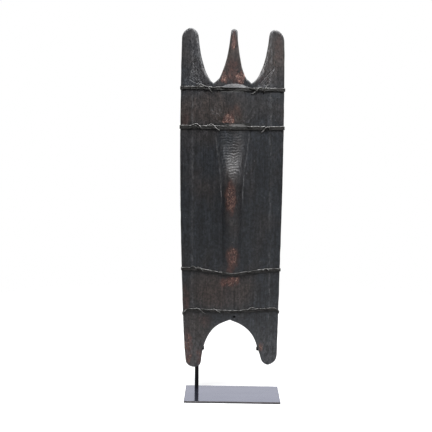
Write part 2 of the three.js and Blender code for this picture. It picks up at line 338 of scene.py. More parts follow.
def incisedShare(u, h):  # 1 in the cut lines of the hatched triangles on the side prongs
    inner, low, high = carving["incisedArea"]
    if abs(u) < inner or not low < h < high:
        return 0
    share = 0
    for corners in prongTriangles:
        for i in range(3):
            away = lineDistance(u, h, corners[i], corners[(i + 1) % 3])
            share = max(share, 1 - away / carving["incisedHalf"])
        if insideTriangle(u, h, corners):
            way = 1 if corners[0][0] > 0 else -1
            pitch = carving["hatchPitch"]
            for slope in carving["hatchSlopes"]:
                across = (h + way * slope * u) / hypot(1, slope)
                line = across / pitch + 0.25 * noise.noise((u / 14, h / 14, 8))
                away = abs(line % 1 - 0.5) * pitch
                share = max(share, 0.75 * (1 - away / carving["incisedHalf"]))
    return clamp(share)


def crackShare(u, h):
    crack = carving["crack"]
    middle = crack["u"] + 1.6 * noise.noise((0, h / 22, 4))
    ends = smooth((h - crack["low"]) / 12) * smooth((crack["high"] - h) / 40)
    return ends * clamp(1 - abs(u - middle) / crack["half"])


def bandShare(h, span):
    return smooth((h - span[0]) / (span[1] - span[0])) * smooth((span[3] - h) / (span[3] - span[2]))


def footLine(u, h):
    if not carving["footBeadSpan"][0] < h < carving["footBeadSpan"][3]:
        return 0
    away = abs(abs(u) - ridgeHalfAt(h) + 1.0 * noise.noise((u / 9, h / 30, 2)))
    return exp(-(away / 1.7) ** 2) * bandShare(h, carving["footBeadSpan"])


def chamferShare(u, h):  # the inner edges of the side prongs are cut to a wide chamfer
    inner, outer, low = carving["chamferArea"]
    return smooth((h - low) / 30) * smooth((abs(u) - inner) / 8) * smooth((outer - abs(u)) / 20)


def fanMarks(u, h):
    middle, low = carving["fanFrom"]
    away = hypot(u - middle, h - low)
    half, bottom, top = carving["fanArea"]
    share = smooth((h - bottom) / 8) * smooth((top - h) / 70) * smooth((half - abs(u)) / 50)
    if share == 0:
        return 0
    turn = atan2(u - middle, h - low)
    mark = noise.noise((turn * 15, away / 75, 7)) + 0.6 * noise.noise((turn * 33, away / 50, 8))
    return share * mark


def crestLineAt(u, h):
    if u >= 0:
        return boardForm["crestHalf"]
    low, high = carving["crestShiftSpan"]
    return boardForm["crestHalf"] + carving["crestShift"] * smooth((h - low) / (high - low))


def rimDrop(rim, u, h):
    drop, width = 0, carving["roundWidth"]
    if rim < width:
        drop = carving["roundDrop"] * (1 - sqrt(1 - (1 - rim / width) ** 2))
    share = chamferShare(u, h)
    if share > 0 and rim < carving["chamferWidth"]:
        cut = carving["chamferDepth"] * (1 - rim / carving["chamferWidth"])
        drop = max(drop, share * cut + (1 - share) * drop)
    return drop


def rippleMarks(u, h):
    span, a = carving["rippleSpan"], abs(u)
    if not span[0] < h < span[3] or a >= ridgeHalfAt(h):
        return 0
    wander = carving["rippleWander"] * noise.noise((u / 14, h / 34, 18))
    wave = sin(2 * pi * (h + wander) / carving["ripplePitch"])
    share = bandShare(h, span) * smooth((1 - a / ridgeHalfAt(h)) / 0.35)
    return wave * share * (0.75 + 0.5 * noise.noise((u / 13, h / 11, 5)))


def frontFace(u, h, rim):
    a = abs(u)
    y = plainFront(u, h)
    start, crest = carving["dishFrom"], boardForm["crestHalf"]
    if start < a < crest:
        hollow = sin(pi * (a - start) / (crest - start))
        y += carving["dish"] * hollow * smooth((carving["dishTop"] - h) / 40)
    offLine = a - crestLineAt(u, h) - noise.noise((3, h / 70, u))
    y -= carving["crestBead"] * exp(-(offLine / 2.6) ** 2)
    y -= carving["footBead"] * footLine(u, h)
    y -= carving["planing"] * noise.noise((u / 26, h / 230, 3))
    y -= carving["fibres"] * abs(noise.noise((u / 5.5, h / 120, 9)))
    y -= carving["dents"] * noise.noise((u / 16, h / 22, 6))
    y -= carving["ripple"] * rippleMarks(u, h)
    y -= carving["fan"] * fanMarks(u, h)
    y -= carving["notchFill"] * notch(u, h)
    y += carving["incised"] * incisedShare(u, h)
    y += carving["crack"]["depth"] * crackShare(u, h)
    hole = carving["pegHole"]
    y += hole["depth"] * smooth((hole["radius"] - hypot(u - hole["u"], h - hole["h"])) / hole["lip"])
    return y + rimDrop(rim, u, h)


def backFace(u, h, rim):
    y = plainBack(u, h)
    near = noise.voronoi((u / 17, h / 42, 0.5))[0][0]
    y -= carving["scoopMark"] * (0.5 - near) * smooth(rim / 7)
    y += carving["backWaves"] * noise.noise((u / 40, h / 90, 12))
    radius = carving["roundBack"]
    if rim < radius:
        y -= radius - sqrt(radius ** 2 - (radius - rim) ** 2)
    return y


# Lashings: three strips of split cane round the board, crossed and stitched down here and there.
# Places are heights on the board; top is how far the upper strip lies over them, left and right.
# A crossing is where two neighbouring strips change places; a stitch goes through (u, height over the line).

# shaded dims the strips' painted light over the boss as painted shade; the next value brightens that painted
# light on the right
lashings = {
    "upper_lashing": {
        "left": 956.5, "middle": 952.5, "right": 953.5, "edgeDrop": 0,
        "top": (7.0, 4.0), "pitch": 3.8, "shaded": 0.75, "rubbedAndLit": 1.4,
        "crossings": [(-92, 1), (-66, 0), (66, 0), (97, 1)],
        "stitches": [[(-121, 3), (-108, 14), (-95, 9), (-83, 6), (-75, -4), (-67, -12)],
                     [(62, -14), (75, -9), (87, 4), (97, 7)],
                     [(103, -10), (108, -3), (114, 10), (119, 17)]],
    },
    "second_lashing": {
        "left": 830, "middle": 826, "right": 824.5, "edgeDrop": 0,
        "top": (2.5, 4.5), "pitch": 4.2, "shaded": 0.6, "rubbedAndLit": 1.0,
        "crossings": [(-112, 1), (-60, 1), (58, 0), (118, 0)],
        "stitches": [[(-138, 3), (-123, 9), (-113, 3.5), (-105, -5), (-100, -13)],
                     [(-84, 5), (-71, 9), (-62, 4), (-51, -6), (-41, -12)],
                     [(96, -17), (104, -10), (113, 1), (121, 4), (126, -4)]],
    },
    "third_lashing": {
        "left": 346, "middle": 331.5, "right": 343, "edgeDrop": 1,
        "top": (1.0, 1.5), "pitch": 3.4, "shaded": 0.3, "rubbedAndLit": 1.0,
        "crossings": [(-126, 1), (-112, 0), (-92, 1), (-45, 0), (30, 1), (58, 0), (80, 1), (112, 1)],
        "stitches": [[(-141, 1), (-136, 6), (-129, 6), (-124, 1), (-127, -5), (-134, -5)],
                     [(-121, -4), (-118, 3), (-114, 6), (-110, 2), (-108, -4)],
                     [(-108, 5), (-103, 0), (-96, -5), (-89, -4)],
                     [(108, -2), (114, 5), (120, 4), (127, -2)]],
    },
    "lower_lashing": {
        "left": 204, "middle": 205, "right": 210, "edgeDrop": 15,
        "top": (0.5, -1.5), "pitch": 3.4, "shaded": 0, "rubbedAndLit": 1.0,
        "crossings": [(-118, 1), (-84, 0), (-56, 1), (-20, 1), (28, 0), (62, 1), (96, 1), (120, 0)],
        "stitches": [[(-122, 3), (-111, 1), (-101, -8), (-89, -17)],
                     [(-60, 4), (-50, -1), (-37, -9)],
                     [(56, -2), (66, 5), (78, 4)]],
    },
}
cane = {
    "strips": 3, "halfThickness": 1.15, "proud": 1.7, "step": 3.0,
    "crossLength": 13, "wander": 0.7, "slack": 0.7, "edgeReach": 2.2, "edgeInset": 3,
    "stitchHalfWidth": 1.8, "stitchStep": 2.5, "stitchProud": 0.8, "stitchOver": 3.5, "stitchSink": 3,
    "uneven": (0.00026, 0.00016),      # coarse and fine, in metres
    "pastRim": 20,                     # so far from the rim the faces aren't rounded
    "sharpDegrees": 60,
}


def lashingHeight(lashing, u):
    side = lashing["left"] if u < 0 else lashing["right"]
    share = min(1, abs(u) / boardForm["crestHalf"])
    drop = lashing["edgeDrop"] * smooth((abs(u) - 146) / 24)
    return lashing["middle"] + (side - lashing["middle"]) * share - drop


def topRise(lashing, u):  # height of the upper strip over the lashing's line
    left, right = lashing["top"]
    return left + (right - left) * smooth((u + 130) / 260)


# Wear: places of rubbed red wood (middle u, middle h, half width, half height, strength)

wornPlaces = [
    (-4, 592, 17, 50, 1.0),
    (3, 392, 21, 36, 0.7),
    (-2, 352, 14, 22, 0.5),
    (2, 309, 25, 19, 0.8),
    (-24, 300, 14, 14, 0.7),
    (-14, 852, 18, 26, 1.0),
    (8, 880, 26, 22, 0.25),
    (3, 1112, 8, 26, 0.75),
    (-28, 994, 12, 18, 1.0),
    (26, 992, 14, 18, 0.9),
    (2, 1014, 24, 44, 0.36),
    (-149, 66, 12, 66, 0.75),
    (-110, 40, 9, 30, 0.55),
    (104, 74, 8, 15, 0.65),
    (-157, 236, 12, 52, 0.42),
    (-88, 165, 24, 22, 0.28),
    (-40, 262, 90, 50, 0.16),
    (154, 1092, 14, 50, 0.22),
    (100, 985, 26, 20, 0.2),
    (-158, 850, 14, 34, 0.25),
]
# Browner soot, in the same way
warmPlaces = [
    (0, 890, 150, 60, 0.6),
    (-150, 890, 46, 56, 0.5),
    (-10, 860, 50, 40, 1.0),
    (0, 1058, 60, 92, 0.8),
    (135, 1060, 60, 90, 0.7),
    (-135, 1060, 50, 90, 0.35),
    (-30, 268, 120, 60, 0.85),
    (-130, 90, 60, 110, 0.8),
    (-90, 700, 50, 200, 0.25),
    (0, 560, 30, 150, 0.4),
    (0, 745, 34, 80, 0.2),
]
# Small pale chips (middle u, middle h, radius)
paleChips = [(-47, 679, 4.5), (50, 673, 4.0), (74, 714, 3.2)]


# Where dust, rubbed polish and painted light lie, as shares of the dust's colour
paleness = {
    # the crests and the lines along the boss's foot are rubbed wood and partly a painted highlight
    "crest": (0.15, 0.8),              # least and most along the rubbed crests
    "crestWidth": 4.0,
    "footLeft": 1.4, "footRight": 1.1, "footLower": 1.8,
    "crescent": 0.34, "crescentFade": 0.2,
    # the ramp's flanks carry painted light, which widens the highlight above the boss; its middle little
    "ramp": 0.56, "rampMiddle": 0.02, "rampMiddleHalf": 27, "rampSpan": (630, 652, 668, 838),
    # the legs are paler towards the bottom
    "prongs": 0.13, "leftLeg": 0.48, "rightLeg": 0.56, "legTop": 190,
    # tips: at the legs' lower ends this is a painted rim light from the floor
    "fan": 0.6, "chamfer": 0.9, "tips": 1.3, "incised": 2.0,
}
# And where grime and painted shade lie: painted shade in the notch, on its lip and round the second
# crescent, and a painted shadow with dirt under each lashing
shadeAndDirt = {
    "notch": 0.55, "notchLip": 0.9, "notchMargin": 4,
    "crescent": 0.8, "besideCrescent": 0.98, "crescentSpan": (827, 842),
    "underCane": 0.55, "underCaneBeside": 0.85, "underCaneReach": 7,
}
# The back is darker where a hand and arm rubbed it, and along its edges
handling = {"h": 640, "halfWidth": 62, "halfHeight": 150, "strength": 0.72, "edge": 0.5, "edgeFrom": 138}


def placeShare(places, u, h):
    share = 0
    u, h = u + 7 * noise.noise((u / 13, h / 22, 50)), h + 13 * noise.noise((u / 12, h / 26, 51))
    for middleU, middleH, halfU, halfH, strength in places:
        away = hypot((u - middleU) / halfU, (h - middleH) / halfH)
        share = max(share, strength * smooth(1.5 - away))
    return share


def chamferLight(u, h, rim):
    return chamferShare(u, h) * smooth((carving["chamferWidth"] + 1.5 - rim) / 3)


# rubbed crests and foot lines, partly a painted highlight
def paleLines(u, h, dotted):  # the rubbed crests and the lines along the boss's foot
    pale, a = paleness, abs(u)
    worn = 0.45 + 0.9 * noise.noise((a, h / 55, 21)) + (0.5 if h > 850 else 0)
    crest = clamp(worn, *pale["crest"]) * exp(-((a - crestLineAt(u, h)) / pale["crestWidth"]) ** 2)
    foot = pale["footLeft"] if u < 0 else pale["footRight"]
    foot *= 1 + pale["footLower"] * smooth((780 - h) / 100)
    return max(crest * (0.6 + 0.4 * dotted), foot * (0.45 + 0.55 * dotted) * footLine(u, h))


def paleShare(u, h, rim):
    pale, a, low = paleness, abs(u), boardForm["ledgeLow"]
    dotted = smooth(0.5 + 1.6 * noise.noise((u / 4, h / 6, 20)))
    middle = smooth((pale["rampMiddleHalf"] - abs(u + 2)) / 14)
    ramp = pale["ramp"] + (pale["rampMiddle"] - pale["ramp"]) * middle
    centreProng = smooth((70 - a) / 20) * smooth((h - 960) / 20)
    leg = pale["leftLeg"] if u < 0 else pale["rightLeg"]
    # upper tips and lower ends; the lower ends carry a painted rim light from the floor
    tips = smooth((h - 1128) / 14) + smooth((26 - h) / 12)
    shares = [
        paleLines(u, h, dotted),
        # painted light on the ramp's flanks
        ramp * smooth((ridgeHalfAt(h) - a) / 5) * bandShare(h, pale["rampSpan"]),
        pale["prongs"] * smooth((h - 850) / 120) * (1 - 0.6 * centreProng),
        # paler towards the bottom of the legs
        leg * smooth((pale["legTop"] - h) / 150),
        pale["fan"] * smooth(2.0 * fanMarks(u, h) - 0.1) * smooth((925 - h) / 50) * dotted,
        pale["chamfer"] * chamferLight(u, h, rim) * (0.45 + 0.55 * dotted),
        pale["tips"] * tips * smooth((8 - rim) / 5),
        pale["incised"] * incisedShare(u, h) * (0.25 + 0.75 * dotted),
    ]
    for chipU, chipH, radius in paleChips:
        shares.append(smooth(1.4 * (1 - hypot(u - chipU, h - chipH) / radius)))
    if low - 1 < h < ledgeTopAt(u) + 1 and prongShare(u, 975, True) > 0.3:
        shares.append(pale["crescent"] - pale["crescentFade"] * smooth((h - low) / 11))
    return max(shares)


# grime with painted shade: a dark crack, painted shade in the notch, on its lip, round the crescent and in
# the peg hole, and painted shadow under the lashings
def grimeAndShadeShare(u, h):
    form, a, margin, reach = boardForm, abs(u), shadeAndDirt["notchMargin"], shadeAndDirt["underCaneReach"]
    share = crackShare(u, h)
    if form["notchLow"] - margin < h < form["notchHigh"] and a < form["notchHalf"] + margin:
        share = max(share, shadeAndDirt["notch"] if h > form["notchLow"] + 2 else shadeAndDirt["notchLip"])
    low, high = shadeAndDirt["crescentSpan"]
    if low < h < high and a < ridgeHalfAt(h) + 2:
        beside = smooth((abs(u - form["crescentMiddle"]) - form["crescentHalf"] + 2) / 10)
        share = max(share, shadeAndDirt["crescent"] + (shadeAndDirt["besideCrescent"] - shadeAndDirt["crescent"]) * beside)
    # a painted shadow, with some dirt, in a band under each lashing, darker beside the boss
    beside = smooth((a - 40) / 30)
    shadow = shadeAndDirt["underCane"] + (shadeAndDirt["underCaneBeside"] - shadeAndDirt["underCane"]) * beside
    for lashing in lashings.values():
        under = lashingHeight(lashing, u) + topRise(lashing, u) - 2.5 * lashing["pitch"] - h
        if -3 * lashing["pitch"] < under < reach:
            share = max(share, shadow * smooth((reach - under) / 5))
    hole = carving["pegHole"]
    return max(share, smooth((hole["radius"] + 1 - hypot(u - hole["u"], h - hole["h"])) / 2))


def handledShare(u, h):
    rub = handling
    away = hypot(u / rub["halfWidth"], (h - rub["h"]) / rub["halfHeight"])
    away += 0.25 * noise.noise((u / 24, h / 40, 60))
    edges = smooth((abs(u) - rub["edgeFrom"]) / 34) * (0.5 + 0.5 * noise.noise((u / 30, h / 60, 61)))
    return max(rub["strength"] * smooth((1.25 - away) / 0.8), rub["edge"] * edges)


# Board: outline, rings along its rim, a grid cut into both faces, then the carving

boardMesh = {
    "outlineStep": 4.2,
    "rings": (0.5, 0.8, 1.2, 1.7, 2.3, 3.2),
    "backRings": (0.8, 1.6, 3.2),
    "rowStep": 2.4,
    "fineColumns": (66, 2.0),        # half width of the fine columns and their step
    "wideColumns": (180, 2.9),
    "backStep": 5.2,
    "height": 1160,
    "fineParts": [(0, 56, 943, 976), (0, 62, 822, 842), (9, 4, 175, 306)],   # middle, half width, low, high
    "sharpDegrees": 55,
}


def steps(low, high, step):
    count = max(1, round((high - low) / step))
    return [low + (high - low) * i / count for i in range(count + 1)]


def finishMesh(bm, name, sharpDegrees):
    mesh = bpy.data.meshes.new(name)
    bm.to_mesh(mesh)
    bm.free()
    mesh.shade_smooth()
    mesh.set_sharp_from_angle(angle=radians(sharpDegrees))
    return addObject(name, mesh)


def cutGrid(bm, face, columns, rows):
    geom = [face, *face.edges, *face.verts]
    cuts = [((0, 0, h), (0, 0, 1)) for h in rows] + [((u, 0, 0), (1, 0, 0)) for u in columns]
    for place, normal in cuts:
        cut = bmesh.ops.bisect_plane(bm, geom=geom, dist=1e-4, plane_co=place, plane_no=normal)
        geom = cut["geom"]


def ringFace(bm, face, rim, widths):
    inward = 0
    for width in widths:
        bmesh.ops.inset_region(bm, faces=[face], thickness=width, use_even_offset=True, use_boundary=True)
        inward += width
        for vert in face.verts:
            vert[rim] = inward


def refine(bm, where):  # splits each edge of the chosen front faces once
    faces = [f for f in bm.faces if len(f.verts) == 4 and where(f.calc_center_median())]
    edges = list(dict.fromkeys(e for f in faces for e in f.edges))
    bmesh.ops.subdivide_edges(bm, edges=edges, cuts=1, use_grid_fill=True)


def nearDetail(middle):
    u, h = middle.x, middle.z
    if middle.y > 5:
        return False
    if any(abs(u - at) < half and low < h < high for at, half, low, high in boardMesh["fineParts"]):
        return True
    return incisedShare(u, h) > 0 or any(insideTriangle(u, h, corners) for corners in prongTriangles)


def makeBoard():
    bm = bmesh.new()
    rim = bm.verts.layers.float.new("rim")
    worn, warm, pale, grimeAndShade, raw = [bm.verts.layers.float.new(name)
                                    for name in ("worn", "warm", "pale", "grimeAndShade", "raw")]
    places, at = [], leftSide[-1]
    for run in outlineRuns:
        places += throughPoints([at, *run], boardMesh["outlineStep"])
        at = run[-1]
    frontPlate = bm.faces.new([bm.verts.new((p.x, 0, p.y)) for p in places])
    backPlate = bm.faces.new([bm.verts.new((p.x, 10, p.y)) for p in places])
    ringFace(bm, frontPlate, rim, boardMesh["rings"])
    ringFace(bm, backPlate, rim, boardMesh["backRings"])
    fineHalf, fineStep = boardMesh["fineColumns"]
    wideHalf, wideStep = boardMesh["wideColumns"]
    right = [*steps(0, fineHalf, fineStep), *steps(fineHalf, wideHalf, wideStep)[1:]]
    columns = [*[-u for u in right[:0:-1]], *right]
    cutGrid(bm, frontPlate, columns, steps(0, boardMesh["height"], boardMesh["rowStep"])[1:-1])
    cutGrid(bm, backPlate, steps(-wideHalf, wideHalf, boardMesh["backStep"]),
            steps(0, boardMesh["height"], boardMesh["backStep"])[1:-1])
    refine(bm, nearDetail)
    print("board grid:", len(bm.faces), "faces")
    boundary = [e for e in bm.edges if e.is_boundary]
    bmesh.ops.bridge_loops(bm, edges=boundary)
    for vert in bm.verts:
        u, h = vert.co.x, vert.co.z
        front = vert.co.y < 5
        y = frontFace(u, h, vert[rim]) if front else backFace(u, h, vert[rim])
        vert[worn] = placeShare(wornPlaces, u, h) if front else 0
        vert[warm] = placeShare(warmPlaces, u, h) if front else 0.5
        vert[pale] = paleShare(u, h, vert[rim]) if front else 0
        # front: grime, painted shade and painted shadow; back: darker where it was handled
        vert[grimeAndShade] = grimeAndShadeShare(u, h) if front else handledShare(u, h)
        vert[raw] = 0 if front else smooth((vert[rim] - 0.5) / 3)
        across = carving["warp"] * noise.noise((u / 60, h / 34, 15))
        along = carving["warp"] * noise.noise((u / 22, h / 60, 16))
        swell = carving["leftSwell"] * smooth((-u - 120) / 40)
        vert.co = Vector((u, y, h)) + Vector((across - swell, 0, along))
    bmesh.ops.recalc_face_normals(bm, faces=bm.faces)
    bmesh.ops.transform(bm, matrix=boardToRoom, verts=bm.verts)
    return finishMesh(bm, "carved_board", boardMesh["sharpDegrees"])


# Hand hold: a scoop cut in from behind, with the grip bar standing in it

handHold = {
    "h": 640, "halfWidth": 31, "halfHeight": 75, "depth": 43,
    "lip": 1.14,                 # the rim of the scoop is rubbed round
    "barHalfWidth": 9.5, "barHalfDepth": 10.5, "barWaist": 0.86,
    "turns": 56, "barSides": 24, "barCuts": 30, "sharpDegrees": 40,
}


def scoopCutter():
    bm = bmesh.new()
    lip = handHold["lip"]
    profile = [(sin(a), -cos(a)) for a in [radians(d) for d in range(0, 80, 5)]]
    profile += [(1.0, -0.09), (1.05, -0.03), (lip, 0.03), (lip, 0.4), (0, 0.4)]
    verts = [bm.verts.new((x, y, 0)) for x, y in profile]
    edges = [bm.edges.new(pair) for pair in zip(verts, verts[1:])]
    bmesh.ops.spin(bm, geom=[*verts, *edges], axis=(0, 1, 0), cent=(0, 0, 0), angle=2 * pi,
                   steps=handHold["turns"], use_merge=True)
    bmesh.ops.remove_doubles(bm, verts=bm.verts, dist=1e-5)
    bmesh.ops.recalc_face_normals(bm, faces=bm.faces)
    size = (handHold["halfWidth"], handHold["depth"], handHold["halfHeight"])
    bmesh.ops.scale(bm, vec=size, verts=bm.verts)
    bmesh.ops.translate(bm, vec=(0, plainBack(0, handHold["h"]), handHold["h"]), verts=bm.verts)
    bmesh.ops.transform(bm, matrix=boardToRoom, verts=bm.verts)
    return finishMesh(bm, "scoop", handHold["sharpDegrees"])


def gripBar():
    bm = bmesh.new()
    reach = handHold["halfHeight"] + 4
    bmesh.ops.create_cone(bm, cap_ends=True, segments=handHold["barSides"], radius1=1, radius2=1,
                          depth=2 * reach)
    lengthwise = [e for e in bm.edges if abs(e.verts[0].co.z - e.verts[1].co.z) > 1]
    bmesh.ops.subdivide_edges(bm, edges=lengthwise, cuts=handHold["barCuts"])
    centreY = plainBack(0, handHold["h"]) - handHold["barHalfDepth"] + 1
    for vert in bm.verts:
        share = abs(vert.co.z) / reach
        swell = handHold["barWaist"] + (1 - handHold["barWaist"]) * smooth(share / 0.6)
        flare = 1 + 0.5 * smooth((share - 0.72) / 0.28)
        knife = 1 + 0.05 * noise.noise((vert.co.x * 2, vert.co.y * 2, vert.co.z / 16))
        vert.co.x *= handHold["barHalfWidth"] * swell * flare * knife
        vert.co.y *= handHold["barHalfDepth"] * knife
        vert.co.y += centreY
        vert.co.z += handHold["h"]
    bmesh.ops.transform(bm, matrix=boardToRoom, verts=bm.verts)
    return finishMesh(bm, "bar", handHold["sharpDegrees"])


def cutHandHold(piece):
    for tool, action in ((scoopCutter(), "DIFFERENCE"), (gripBar(), "UNION")):
        cut = piece.modifiers.new(action, "BOOLEAN")
        cut.operation = action
        cut.solver = "EXACT"
        cut.object = tool
        carved = evaluatedMesh(piece)
        piece.modifiers.clear()
        old, piece.data = piece.data, carved
        carved.name = old.name
        bpy.data.meshes.remove(old)
        bpy.data.meshes.remove(tool.data)


board = makeBoard()
cutHandHold(board)
board.data.set_sharp_from_angle(angle=radians(boardMesh["sharpDegrees"]))
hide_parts("shield_board")
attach(board, "root")
print("board carved:", len(board.data.polygons), "faces")


# Lashings, drawn as curves that are turned into mesh

leftReachAt = lookUp(sorted((round(h), -u) for u, h in leftSide))
rightReachAt = lookUp(sorted((round(h), u) for u, h in rightSide))


def slotAt(lashing, start, u):  # which place a strip is in at u, 0 on top, and how far it passes over
    slot = start
    for middle, upper in lashing["crossings"]:
        if slot not in (upper, upper + 1):
            continue
        other = 2 * upper + 1 - slot
        t = (u - middle) / cane["crossLength"]
        if t <= -1:
            break
        if t < 1:
            over = cos(pi * t / 2) if slot < other else 0
            return slot + (other - slot) * (1 - cos(pi * (t + 1) / 2)) / 2, over
        slot = other
    return slot, 0


def tautened(depths, passes=5):  # a tight strip bridges small hollows instead of following them
    for _ in range(passes):
        before, after = [depths[0], *depths[:-1]], [*depths[1:], depths[-1]]
        depths = [min(y, (a + b) / 2) for y, a, b in zip(depths, before, after)]
    return depths


def stripHeight(lashing, u, slot):
    return lashingHeight(lashing, u) + topRise(lashing, u) - lashing["pitch"] * slot


def stripPath(lashing, start):  # once round the board: the front from left to right, then the back
    leftEdge = -leftReachAt(lashingHeight(lashing, -175))
    rightEdge = rightReachAt(lashingHeight(lashing, 175))
    proud, seed, inset = cane["proud"], lashing["middle"] + 9 * start, cane["edgeInset"]
    across = steps(leftEdge + inset, rightEdge - inset, cane["step"])
    places = [slotAt(lashing, start, u) for u in across]
    heights = [stripHeight(lashing, u, slot) + cane["wander"] * noise.noise((u / 21, seed, 3))
               for u, (slot, _) in zip(across, places)]
    depths = tautened([frontFace(u, h, cane["pastRim"]) for u, h in zip(across, heights)])
    path = []
    for u, h, y, (_, over) in zip(across, heights, depths, places):
        slack = cane["slack"] * noise.noise((u / 17, seed, 30))
        path.append((u, y - proud - slack - 2 * cane["halfThickness"] * over, h))
    last = places[-1][0]
    path += edgeTurn(rightEdge, 1, stripHeight(lashing, rightEdge, last))
    for u in reversed(steps(leftEdge + inset, rightEdge - inset, 2 * cane["step"])):
        share = (u - leftEdge) / (rightEdge - leftEdge)
        h = stripHeight(lashing, u, start + (last - start) * share)
        path.append((u, backFace(u, h, cane["pastRim"]) + proud, h))
    path += reversed(edgeTurn(leftEdge, -1, stripHeight(lashing, leftEdge, start)))
    return path


def edgeTurn(edge, sign, h):  # round the side of the board, from the front to the back
    inset = cane["edgeInset"]
    front, back = [face(edge - inset * sign, h, cane["pastRim"]) for face in (frontFace, backFace)]
    middle, half = (front + back) / 2, (back - front) / 2 + cane["proud"]
    turn = []
    for degreesRound in range(-75, 90, 15):
        a = radians(degreesRound)
        out = (cane["edgeReach"] + inset) * cos(a) ** 0.6 - inset
        turn.append((edge + sign * out, middle + half * sin(a), h))
    return turn


def stitchPath(lashing, points):  # over the strips, with both ends sunk in the wood
    path = []
    curve = [*throughPoints(points, cane["stitchStep"]), Vector(points[-1])]
    for k, (u, rise) in enumerate(curve):
        share = k / (len(curve) - 1)
        sink = cane["stitchSink"] * (smooth((0.1 - share) / 0.1) + smooth((share - 0.9) / 0.1))
        over = cane["stitchOver"] * cane["halfThickness"] * exp(-(rise / 7) ** 2)
        h = lashingHeight(lashing, u) + rise
        y = frontFace(u, h, cane["pastRim"]) - cane["proud"] * cane["stitchProud"]
        path.append((u, y - over + sink, h))
    return path


def addDrawn(bm, data):  # adds a curve's shape to the mesh, and clears the curve away
    made = evaluatedMesh(addObject(data.name, data))
    bm.from_mesh(made)
    bpy.data.meshes.remove(made)
    bpy.data.curves.remove(data)


def addCane(bm, paths, halfWidth, closed):  # sweeps a flat rounded strip along the paths
    data = bpy.data.curves.new("drawn", "CURVE")
    data.dimensions = "3D"
    data.twist_mode = "Z_UP"
    data.bevel_mode = "ROUND"
    data.bevel_depth = 0.001 * cane["halfThickness"]
    data.bevel_resolution = 2
    data.extrude = 0.001 * (halfWidth - cane["halfThickness"])
    data.use_fill_caps = True
    for path in paths:
        spline = data.splines.new("POLY")
        spline.points.add(len(path) - 1)
        for point, place in zip(spline.points, path):
            point.co = (*(boardToRoom @ Vector(place)), 1)
        spline.use_cyclic_u = closed
    addDrawn(bm, data)


# painted light and shade: the upper strip and the stitches are painted paler, with dust, as lit from above,
# the strips below darker as shaded, and dimmer over the boss in painted shade
def litShare(lashing, u, h, stitch):  # dust lies on the upper strip and the stitches, less over the boss
    over = h - lashingHeight(lashing, u) - topRise(lashing, u)
    rubbedAndLit = smooth(0.55 + 1.7 * noise.noise((u / 9, lashing["middle"], 40)))
    shaded = 1 - lashing["shaded"] * smooth((48 - abs(u - 6)) / 14)
    shaded *= 1 + (lashing["rubbedAndLit"] - 1) * smooth((u - 50) / 20)
    if stitch:
        return shaded * (1 - 0.5 * smooth((abs(over) - 9) / 6)) * (0.45 + 0.55 * rubbedAndLit)
    return shaded * smooth((over + 0.8) / 1.6) * (0.15 + 0.95 * rubbedAndLit)


def makeLashing(node, lashing):
    bm = bmesh.new()
    strips = [stripPath(lashing, start) for start in range(cane["strips"])]
    stitches = [stitchPath(lashing, stitch) for stitch in lashing["stitches"]]
    addCane(bm, strips, lashing["pitch"] / 2 + 0.1, True)
    stripVerts = len(bm.verts)
    addCane(bm, stitches, cane["stitchHalfWidth"], False)
    lit = bm.verts.layers.float.new("lit")
    roomToBoard = boardToRoom.inverted()
    for i, vert in enumerate(bm.verts):
        u, _, h = roomToBoard @ vert.co
        vert[lit] = litShare(lashing, u, h, i >= stripVerts)
    bmesh.ops.remove_doubles(bm, verts=bm.verts, dist=1e-6)
    bmesh.ops.recalc_face_normals(bm, faces=bm.faces)
    coarse, fine = cane["uneven"]
    for vert in bm.verts:
        vert.co += vert.normal * (coarse * noise.noise(vert.co * 230) + fine * noise.noise(vert.co * 800))
    piece = finishMesh(bm, node + "_cane", cane["sharpDegrees"])
    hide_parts(node)
    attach(piece, "root")
    return piece


canePieces = [makeLashing(node, lashing) for node, lashing in lashings.items()]
print("lashings laid:", sum(len(piece.data.polygons) for piece in canePieces), "faces")


# Stand frame: welded round rod, a fork in the hand hold and a clip round each leg, in room millimetres

standForm = {
    "plateThickness": 7, "gap": 0.35,
    "postX": -123.4, "postY": 66, "postRadius": 6.9,
    "armRadius": 4.5, "armZ": 292, "dropX": 108, "bend": 9,
    "clipHeight": 7, "clipThickness": 2.5, "clipLap": 4.5, "clipClear": 1.3, "stubRadius": 3.4,
    "clips": [(-95.6, 67.5, -122.8), (89, 66, 108)],   # u, h and the rod's x
    "clipBack": [(3, 0), (0.8, 0.6), (0, 3)],          # bends: in from the edge, and towards the front
    "clipFront": [(0, 2.5), (0.7, 0.6), (2.4, 0)],     # and the same, towards the back
    "forkH": 690, "forkHalf": 16, "forkRadius": 3.5, "forkBend": 7, "forkBackY": 42, "forkTipY": 17,
    "sides": 24, "sharpDegrees": 40, "weldSize": 1.6, "weldFlat": 0.42,
}


def inRoom(u, y, h):  # room millimetres of a point of the board
    return boardToRoom @ Vector((u, y, h)) * 1000


def rodMesh(bm, places, radius, bend):
    data = bpy.data.curves.new("rod", "CURVE")
    data.dimensions = "3D"
    data.bevel_depth = 0.001 * radius
    data.bevel_resolution = standForm["sides"] // 4 - 2
    data.use_fill_caps = True
    corners = [Vector(place) for place in places]
    line = [corners[0]]
    for before, corner, after in zip(corners, corners[1:], corners[2:]):
        start = corner + (before - corner).normalized() * bend
        end = corner + (after - corner).normalized() * bend
        for t in steps(0, 1, 0.125):
            line.append((1 - t) ** 2 * start + 2 * t * (1 - t) * corner + t ** 2 * end)
    line.append(corners[-1])
    spline = data.splines.new("POLY")
    spline.points.add(len(line) - 1)
    for point, place in zip(spline.points, line):
        point.co = (*(place * 0.001), 1)
    addDrawn(bm, data)


